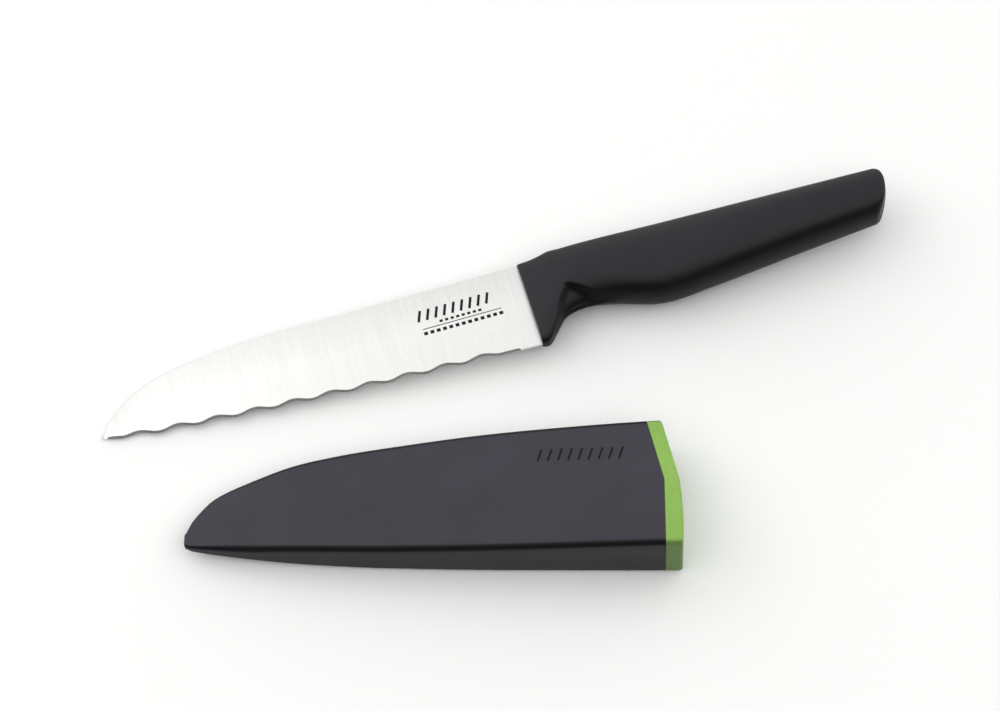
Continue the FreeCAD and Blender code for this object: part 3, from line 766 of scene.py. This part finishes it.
class Casing:
    """The scabbard's outer form: where each point of its surface lies."""

    def __init__(self, sizes):
        self.length = sizes.length / MM
        self.height = sizes.height / MM
        self.half = sizes.thickness / MM / 2 - FACET_TRIM
        self.rim = sizes.rim / MM

    def section(self, x):
        """Edge wall, spine wall and half thickness at x."""
        share = -x / self.length
        low = self.height * max(0.0, hermite(share, RISE))
        high = self.height * (1 - hermite(share, FALL))
        half = (self.half + FACE_TAPER * x) * hermite(share, SLIM)
        return low, high, half

    def profile(self, x, inset, side):
        """Points of half a section, from the spine wall's parting line to the edge wall's."""
        low, high, half = self.section(x)
        crease = low + (high - low) * CREASE
        fall = (high - crease) * FACET_SLOPE
        low, high, half = low + inset, high - inset, half - inset
        rim = max(0.05, min(self.rim - inset * 0.5, half * 0.55, (high - low) * 0.25))
        spine_rim = max(0.05, min(rim, (half - fall) * 0.55))
        points = [(high, 0.0), (high, (half - fall - spine_rim) * 0.55)]
        for k in range(7):
            angle = math.pi / 2 * k / 6
            points.append((high - spine_rim + spine_rim * math.cos(angle),
                           half - fall - spine_rim + spine_rim * math.sin(angle)))
        for share in (0.04, 0.15, 0.35, 0.55, 0.75, 0.92, 1.0):
            y = high - spine_rim + (crease - high + spine_rim) * share
            points.append((y, half - fall + fall * share))
        for share in (0.08, 0.25, 0.45, 0.65, 0.85, 0.96):
            points.append((crease + (low + rim - crease) * share, half))
        for k in range(7):
            angle = math.pi / 2 * (1 + k / 6)
            points.append((low + rim + rim * math.cos(angle),
                           half - rim + rim * math.sin(angle)))
        points += [(low, (half - rim) * 0.55), (low, 0.0)]
        return [(y, side * z) for y, z in points]

    def mouth(self, y):
        """How far the raked mouth line lies back at a height."""
        return -max(0.0, y - self.height * CREASE) * math.tan(MOUTH_RAKE)

    def ring(self, share, inset, side, ahead=0.0):
        """A ring that follows the mouth's line near the mouth and is square farther in."""
        base = -self.length * share
        square = self.profile(base, inset, side)
        ring = []
        for i, (y, z) in enumerate(square):
            x = base + ahead + self.mouth(y) * (1 - share) ** 3
            y_here, z_here = self.profile(x, inset, side)[i]
            ring.append(Vector((x, y_here, z_here)))
        return ring


def casing_half(casing, name, side, wall):
    """One shell as a closed solid: outer skin, inner skin, mouth rim, parting face and nose."""
    shares = [0.0, 0.004, 0.012] + [0.03 + 0.966 * i / 84 for i in range(85)]
    inner_shares = [s for s in shares if s < HOLLOW_END]
    outer = [casing.ring(s, 0.0, side) for s in shares]
    # the nose rounds off over its last millimetres
    nose = outer[-1]
    middle = Vector((nose[0].x, (nose[0].y + nose[-1].y) / 2, 0.0))
    reach = -casing.length - nose[0].x
    for step in range(1, 6):
        angle = math.pi / 2 * step / 6
        ring = []
        for spot in nose:
            arm = spot - middle
            ring.append(middle + arm * math.cos(angle) ** 0.8
                        + Vector((reach * math.sin(angle), 0, 0)))
        outer.append(ring)
    tip = Vector((-casing.length, middle.y, 0.0))
    inner = [casing.ring(s, wall, side) for s in inner_shares]
    around = len(nose)
    points = [spot for ring in outer for spot in ring]
    faces = rings_to_faces(len(outer), around, closed=False)
    start = len(points)
    points += [spot for ring in inner for spot in ring]
    faces += rings_to_faces(len(inner), around, closed=False, first=start)
    point = len(points)
    points.append(tip)
    # mouth rim
    faces += [(j, j + 1, start + j + 1, start + j) for j in range(around - 1)]
    # nose tip
    last = (len(outer) - 1) * around
    faces += [(last + j, last + j + 1, point) for j in range(around - 1)]
    # end of the hollow
    end = start + (len(inner) - 1) * around
    faces.append(tuple(end + j for j in range(around)))
    # parting face: quads along both walls, then a strip round the nose
    for j in (0, around - 1):
        for i in range(len(inner) - 1):
            faces.append((i * around + j, (i + 1) * around + j,
                          start + (i + 1) * around + j, start + i * around + j))
    beyond = range(len(inner) - 1, len(outer))
    border = [i * around for i in beyond] + [point]
    border += [i * around + around - 1 for i in reversed(beyond)]
    faces.append(tuple(border + [end + around - 1, end]))
    piece = mesh_object(name, points, faces, SCABBARD)
    outward(piece)
    sharpen(piece, 35)
    return piece


RIB_BAYS = [(0.07, 0.27), (0.32, 0.52), (0.57, 0.74)]
RIB_HEIGHTS = [0.52, 0.80]


def guide_ribs(casing, name, side, slot, wall):
    """The ribs that leave the blade its slot, made as one piece for a shell."""
    work = bmesh.new()
    for start, end in RIB_BAYS:
        middle = (start + end) / 2
        for share in RIB_HEIGHTS:
            y = casing.height * share * (1 - 0.2 * middle)
            thin = []
            for place in (start, end):
                x = -casing.length * place
                half = casing.section(x)[2]
                fall = casing.height * max(0.0, share - 0.5) * FACET_SLOPE
                thin.append((x, half - fall - wall * 0.6))
            corners = []
            for x, root in thin:
                for across in (-0.8, 0.8):
                    for z in (slot / 2, root):
                        corner = SCABBARD @ Vector((x, y + across, side * z))
                        corners.append(work.verts.new(corner))
            bmesh.ops.convex_hull(work, input=corners)
    bmesh.ops.recalc_face_normals(work, faces=work.faces)
    mesh = bpy.data.meshes.new(name)
    work.to_mesh(mesh)
    work.free()
    piece = bpy.data.objects.new(name, mesh)
    bpy.context.scene.collection.objects.link(piece)
    return piece


class BREADKNIFE_OT_casing(bpy.types.Operator):
    """Make the scabbard's two shells, smooth outside and hollow inside, with their ribs"""
    bl_idname = "bread_knife.casing"
    bl_label = "Casing"

    def execute(self, context):
        sizes = context.scene.scabbard_sizes
        casing = Casing(sizes)
        for name, side in (("upper", 1), ("lower", -1)):
            piece = casing_half(casing, name + "_casing", side, sizes.wall / MM)
            piece.data.materials.append(material(black_casing_plastic))
            finish_piece(piece, "scabbard", "shell", name + "_shell")
            ribs = guide_ribs(casing, name + "_guide_ribs", side, sizes.slot / MM,
                              sizes.wall / MM)
            ribs.data.materials.append(material(black_casing_plastic))
            finish_piece(ribs, "scabbard", "shell")
        return {"FINISHED"}


class BREADKNIFE_OT_collar(bpy.types.Operator):
    """Make the green mouth collar with its rounded front edge and the blade's slot"""
    bl_idname = "bread_knife.collar"
    bl_label = "Mouth collar"

    def execute(self, context):
        sizes = context.scene.scabbard_sizes
        casing = Casing(sizes)
        width = sizes.collar / MM
        slot = sizes.slot / MM
        round_off = 0.9

        def loop(ahead, inset):
            """A closed ring; the collar's outer edge bows forward by a hair below the crease."""
            upper = casing.ring(0.0, inset, 1, ahead)
            lower = casing.ring(0.0, inset, -1, ahead)
            ring = upper + lower[-2:0:-1]
            for spot in ring:
                spot.x += 0.85 * ahead / width * max(0.0, 1 - ((spot.y - 8.0) / 14.5) ** 2)
            return ring

        rings = [loop(0.0, 0.22), loop(0.16, 0.05), loop(0.3, 0.02)]
        rings += [loop(width * share, 0.02) for share in (0.25, 0.5, 0.7)]
        for step in range(6):
            angle = math.pi / 2 * step / 5
            rings.append(loop(width - round_off + round_off * math.sin(angle),
                              0.02 + round_off * (1 - math.cos(angle))))
        rings.append(loop(width, round_off + 0.6))
        front = rings[-1]
        low, high = 3.0, casing.height - 2.2
        middle, reach = (low + high) / 2, (high - low) / 2

        def slot_loop(grow, back):
            """The slot's outline with round ends, in step with the points of the front."""
            ring = []
            half = slot / 2 + grow
            for spot in front:
                share = (spot.y - casing.height / 2) / (casing.height / 2 - round_off - 0.6)
                share = max(-1.0, min(1.0, share))
                y = middle + share * (reach + grow)
                edge = max(0.0, abs(y - middle) - (reach + grow - half))
                z = math.copysign(math.sqrt(max(0.0, half ** 2 - edge ** 2)), spot.z)
                if abs(spot.z) < 1e-6:
                    z = 0.0
                ring.append(Vector((spot.x - back, y, z)))
            return ring

        rings += [slot_loop(0.5, 0.0), slot_loop(0.15, 0.12), slot_loop(0.0, 0.5)]
        rings.append([Vector((spot.x - width, y_z.y, y_z.z))
                      for spot, y_z in zip(front, slot_loop(0.0, 0.0))])
        around = len(front)
        rings.append(loop(0.0, 1.2))
        points = [spot for ring in rings for spot in ring]
        faces = rings_to_faces(len(rings), around)
        last = (len(rings) - 1) * around
        faces += [(last + j, last + (j + 1) % around, (j + 1) % around, j)
                  for j in range(around)]
        piece = mesh_object("mouth_collar_moulding", points, faces, SCABBARD)
        outward(piece)
        sharpen(piece, 35)
        piece.data.materials.append(material(green_collar_plastic))
        finish_piece(piece, "scabbard", "collar", "mouth_collar")
        return {"FINISHED"}


class BREADKNIFE_OT_inner_parts(bpy.types.Operator):
    """Give the sharpener, its pin and spring, and the handle's core their materials"""
    bl_idname = "bread_knife.inner_parts"
    bl_label = "Sharpener and core"

    def execute(self, context):
        wanted = {
            "sharpener_rocker": rocker_plastic,
            "sharpening_plate_upper": ground_ceramic,
            "sharpening_plate_lower": ground_ceramic,
            "pivot_pin": drawn_spring_steel,
            "return_spring": drawn_spring_steel,
            "handle_core": rocker_plastic,
        }
        for node, maker in wanted.items():
            part = frame["nodes"][node]
            part.data.materials.clear()
            part.data.materials.append(material(maker))
        return {"FINISHED"}


# ----------------------------------------
# Marks: rows of plain strokes, made by Geometry Nodes
# ----------------------------------------
def stroke_row(name, count, pitch, stroke, place, finish):
    """A row of equal box-shaped strokes along the local X axis, as a plain mesh."""
    tree = bpy.data.node_groups.new(name + "_row", "GeometryNodeTree")
    for label, kind in (("Count", "NodeSocketInt"), ("Pitch", "NodeSocketFloat"),
                        ("Stroke", "NodeSocketVector"), ("Slant", "NodeSocketFloat")):
        tree.interface.new_socket(label, in_out="INPUT", socket_type=kind)
    tree.interface.new_socket("Geometry", in_out="OUTPUT", socket_type="NodeSocketGeometry")
    source = tree.nodes.new("NodeGroupInput")
    step = add(tree, "ShaderNodeCombineXYZ", {"X": source.outputs["Pitch"]})
    line = add(tree, "GeometryNodeMeshLine", {"Count": source.outputs["Count"],
                                              "Offset": step.outputs[0]})
    bar = add(tree, "GeometryNodeMeshCube", {"Size": source.outputs["Stroke"],
                                             "Vertices X": 4, "Vertices Y": 10})
    slant = add(tree, "ShaderNodeCombineXYZ", {"Z": source.outputs["Slant"]})
    copies = add(tree, "GeometryNodeInstanceOnPoints", {"Points": line.outputs["Mesh"],
                                                        "Instance": bar.outputs["Mesh"],
                                                        "Rotation": slant.outputs[0]})
    solid = add(tree, "GeometryNodeRealizeInstances", {"Geometry": copies.outputs["Instances"]})
    painted = add(tree, "GeometryNodeSetMaterial", {"Geometry": solid.outputs[0],
                                                    "Material": finish})
    sink = tree.nodes.new("NodeGroupOutput")
    tree.links.new(painted.outputs[0], sink.inputs[0])

    holder = bpy.data.objects.new(name + "_holder", bpy.data.meshes.new(name + "_holder"))
    bpy.context.scene.collection.objects.link(holder)
    modifier = holder.modifiers.new("row", "NODES")
    modifier.node_group = tree
    values = {"Count": count, "Pitch": pitch, "Stroke": stroke[:3], "Slant": stroke[3]}
    for item in tree.interface.items_tree:
        if item.in_out == "INPUT":
            modifier[item.identifier] = values[item.name]
    graph = bpy.context.evaluated_depsgraph_get()
    mesh = bpy.data.meshes.new_from_object(holder.evaluated_get(graph))
    bpy.data.objects.remove(holder)
    mesh.transform(place)
    piece = bpy.data.objects.new(name, mesh)
    bpy.context.scene.collection.objects.link(piece)
    return piece


class BREADKNIFE_OT_marks(bpy.types.Operator):
    """Make the plain etched strokes on the blade and the sunk mark's bars of painted shadow
    on the scabbard
    """
    bl_idname = "bread_knife.marks"
    bl_label = "Marks"

    def execute(self, context):
        sizes = context.scene.knife_sizes
        ink = 0.02
        taper = (sizes.blade_thickness - sizes.edge_thickness) / sizes.blade_height / 2
        oxide = material(etched_oxide)

        def on_blade(x, y):
            """A place on the blade's upper face, which falls a little towards the edge."""
            z = sizes.blade_thickness / MM / 2 + y * taper + 0.004
            return KNIFE @ Matrix.Translation((x, y, z)) @ Matrix.Rotation(taper, 4, "X")

        # name, count, pitch, a stroke's length, height and slant, and where the row starts
        rows = [
            ("strokes", sizes.mark_strokes, 2.9, 0.9, 4.2, -0.35, -36.0, -8.6),
            ("rule", 1, 1.0, 27.0, 0.28, 0.0, -22.6, -13.6),
            ("dashes", 13, 2.15, 1.3, 1.2, 0.0, -35.5, -15.3),
            ("short_dashes", 8, 1.9, 1.1, 0.9, 0.0, -29.5, -12.2),
        ]
        for name, count, pitch, wide, high, slant, x, y in rows:
            row = stroke_row("etched_" + name, count, pitch, (wide, high, ink, slant),
                             on_blade(x, y), oxide)
            finish_piece(row, "knife", "steel")

        # a row of plain bars for the sunk mark near the mouth, laid on the scabbard's face as thin
        # dark strips: painted shadow
        shell = context.scene.scabbard_sizes
        lean = math.atan(FACE_TAPER)
        height = shell.thickness / MM / 2 - FACET_TRIM
        x, y = -39.5, 32.6
        height -= (y - shell.height / MM * CREASE) * FACET_SLOPE - 0.006
        place = (SCABBARD @ Matrix.Translation((x, y, height + x * FACE_TAPER))
                 @ Matrix.Rotation(-lean, 4, "Y")
                 @ Matrix.Rotation(-math.atan(FACET_SLOPE), 4, "X"))
        bars = stroke_row("sunk_bars", shell.mark_bars, 3.25, (0.55, 4.4, ink, -0.3), place,
                          material(sunk_shadow))
        finish_piece(bars, "scabbard", "shell")
        return {"FINISHED"}


# ----------------------------------------
# Stage
# ----------------------------------------
CAMERA_ELEVATION = math.radians(62.0)
CAMERA_DISTANCE = 1.1
CAMERA_LENS = 119.8
CAMERA_AIM = Vector((0.00032, 0.00805, 0.0))
TENT_GLOW = 2.9
PANEL_GLOW = 0.97
HORIZON_GLOW = 0.05


class BREADKNIFE_OT_stage(bpy.types.Operator):
    """Make the pale floor, the soft studio light and the camera"""
    bl_idname = "bread_knife.stage"
    bl_label = "Stage"

    def execute(self, context):
        scene = context.scene
        scene.view_settings.view_transform = "Standard"
        reach = 3.0
        corners = [(-reach, -reach, 0), (reach, -reach, 0), (reach, reach, 0), (-reach, reach, 0)]
        floor = mesh_object("studio_floor", corners, [(0, 1, 2, 3)], Matrix(), smooth=False)
        floor.data.materials.append(material(studio_floor))

        world = bpy.data.worlds.new("soft_studio")
        world.use_nodes = True
        tree = world.node_tree
        sky = tree.nodes["Background"]
        sky.inputs["Color"].default_value = (1.0, 1.0, 1.0, 1.0)
        # a bright tent overhead and behind, darker towards the horizon at the camera's side
        direction = add(tree, "ShaderNodeTexCoord").outputs["Generated"]
        parts = add(tree, "ShaderNodeSeparateXYZ", {"Vector": direction}).outputs
        lift = add(tree, "ShaderNodeMath", {0: parts["Y"], 1: 0.45, 2: parts["Z"]},
                   operation="MULTIPLY_ADD")
        glow = spread(tree, lift.outputs[0], 0.05, 0.85, HORIZON_GLOW, TENT_GLOW,
                      interpolation_type="SMOOTHSTEP")
        # a softer panel where the camera sees it mirrored in the steel
        mirrored = Vector((0, math.cos(CAMERA_ELEVATION), math.sin(CAMERA_ELEVATION)))
        near = add(tree, "ShaderNodeVectorMath", {0: direction, 1: mirrored},
                   operation="DOT_PRODUCT")
        panel = spread(tree, near.outputs["Value"], 0.45, 0.82,
                       interpolation_type="SMOOTHSTEP")
        both = add(tree, "ShaderNodeMix", {"Factor": panel, "A": glow, "B": PANEL_GLOW})
        tree.links.new(both.outputs["Result"], sky.inputs["Strength"])
        scene.world = world

        lamp = bpy.data.lights.new("overhead_softbox", "AREA")
        lamp.shape = "RECTANGLE"
        lamp.size = 1.6
        lamp.size_y = 1.2
        lamp.energy = 4.0
        lamp_object = bpy.data.objects.new("overhead_softbox", lamp)
        lamp_object.location = (-0.95, 0.5, 1.1)
        aim = Vector((0, 0, 0)) - lamp_object.location
        lamp_object.rotation_euler = aim.to_track_quat("-Z", "Y").to_euler()
        scene.collection.objects.link(lamp_object)

        lens = bpy.data.cameras.new("camera")
        lens.lens = CAMERA_LENS
        lens.sensor_width = 36.0
        camera = bpy.data.objects.new("camera", lens)
        back = Vector((0, -math.cos(CAMERA_ELEVATION), math.sin(CAMERA_ELEVATION)))
        camera.location = CAMERA_AIM + back * CAMERA_DISTANCE
        camera.rotation_euler = (-back).to_track_quat("-Z", "Y").to_euler()
        scene.collection.objects.link(camera)
        scene.camera = camera
        return {"FINISHED"}


class BREADKNIFE_PT_panel(bpy.types.Panel):
    """Lists the makers and the sizes they use"""
    bl_label = "Bread Knife"
    bl_space_type = "VIEW_3D"
    bl_region_type = "UI"
    bl_category = "Bread Knife"

    def draw(self, context):
        for maker in MAKERS:
            self.layout.operator(maker.bl_idname)
        for group in ("knife_sizes", "scabbard_sizes", "knife_finishes"):
            settings = getattr(context.scene, group)
            for key in settings.__annotations__:
                self.layout.prop(settings, key)


MAKERS = [
    BREADKNIFE_OT_stage,
    BREADKNIFE_OT_blade,
    BREADKNIFE_OT_grip,
    BREADKNIFE_OT_casing,
    BREADKNIFE_OT_collar,
    BREADKNIFE_OT_inner_parts,
    BREADKNIFE_OT_marks,
]
CLASSES = [KnifeSizes, ScabbardSizes, Finishes, *MAKERS, BREADKNIFE_PT_panel]


def register():
    for entry in CLASSES:
        bpy.utils.register_class(entry)
    bpy.types.Scene.knife_sizes = PointerProperty(type=KnifeSizes)
    bpy.types.Scene.scabbard_sizes = PointerProperty(type=ScabbardSizes)
    bpy.types.Scene.knife_finishes = PointerProperty(type=Finishes)


def unregister():
    del bpy.types.Scene.knife_sizes
    del bpy.types.Scene.scabbard_sizes
    del bpy.types.Scene.knife_finishes
    for entry in reversed(CLASSES):
        bpy.utils.unregister_class(entry)


def main():
    register()
    bpy.ops.bread_knife.stage()
    bpy.ops.bread_knife.blade()
    bpy.ops.bread_knife.grip()
    bpy.ops.bread_knife.casing()
    bpy.ops.bread_knife.collar()
    bpy.ops.bread_knife.inner_parts()
    bpy.ops.bread_knife.marks()


if __name__ == "__main__":
    main()
